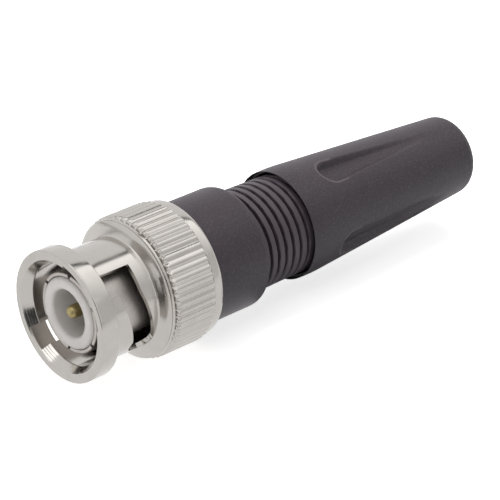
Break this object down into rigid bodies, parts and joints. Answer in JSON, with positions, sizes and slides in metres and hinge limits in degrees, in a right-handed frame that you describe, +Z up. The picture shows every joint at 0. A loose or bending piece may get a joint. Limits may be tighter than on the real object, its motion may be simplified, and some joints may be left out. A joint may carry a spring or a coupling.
{
  "type": "bnc connector",
  "caption": "Bayonet coaxial cable plug with a knurled nickel coupling nut, slotted contact sleeve and centre pin, a black threaded collar and a tapered fluted screw cap.",
  "frame": {"origin": "centre of the plug's mouth, in the plane of the coupling nut's front face", "axes": "+X along the plug axis from the mouth to the cable entry, +Z up"},
  "size_m": [0.0525, 0.0144, 0.0144],
  "materials": {
    "nickel_plate": "bright nickel plate on turned brass",
    "gilt_brass": "thin gold flash on brass",
    "white_insulator": "satin white polymer",
    "seal_rubber": "black rubber",
    "spring_steel": "rolled spring steel",
    "black_plastic": "fine matte moulded plastic"
  },
  "bodies": {
    "body": {"plug_body": "nickel_plate", "contact_sleeve": "nickel_plate", "insulator": "white_insulator", "centre_pin": "gilt_brass", "gasket": "seal_rubber", "wave_washer": "spring_steel", "threaded_collar": "black_plastic"},
    "thrust_washer": {"thrust_washer": "spring_steel"},
    "coupling_nut": {"coupling_nut": "nickel_plate"},
    "cable_clamp": {"cable_clamp": "white_insulator"},
    "screw_cap": {"screw_cap": "black_plastic"}
  },
  "joints": [
    {"name": "coupling_pull", "type": "slide", "parent": "body", "child": "thrust_washer", "axis": [-1, 0, 0], "range_m": [0, 0.0004], "stiffness_N_per_m": 1500, "springref_m": -0.0005, "deforming": ["wave_washer"]},
    {"name": "coupling_turn", "type": "hinge", "parent": "thrust_washer", "child": "coupling_nut", "pos_m": [0.01, 0, 0], "axis": [1, 0, 0], "continuous": true},
    {"name": "cap_travel", "type": "slide", "parent": "body", "child": "cable_clamp", "axis": [1, 0, 0], "range_m": [-0.0012, 0.0018]},
    {"name": "cap_turn", "type": "hinge", "parent": "cable_clamp", "child": "screw_cap", "pos_m": [0.04, 0, 0], "axis": [1, 0, 0], "range_deg": [-433, 649]}
  ],
  "couplings": [
    {"joint": "cap_turn", "follows": "cap_travel", "rad_per_m": 6283.2}
  ]
}
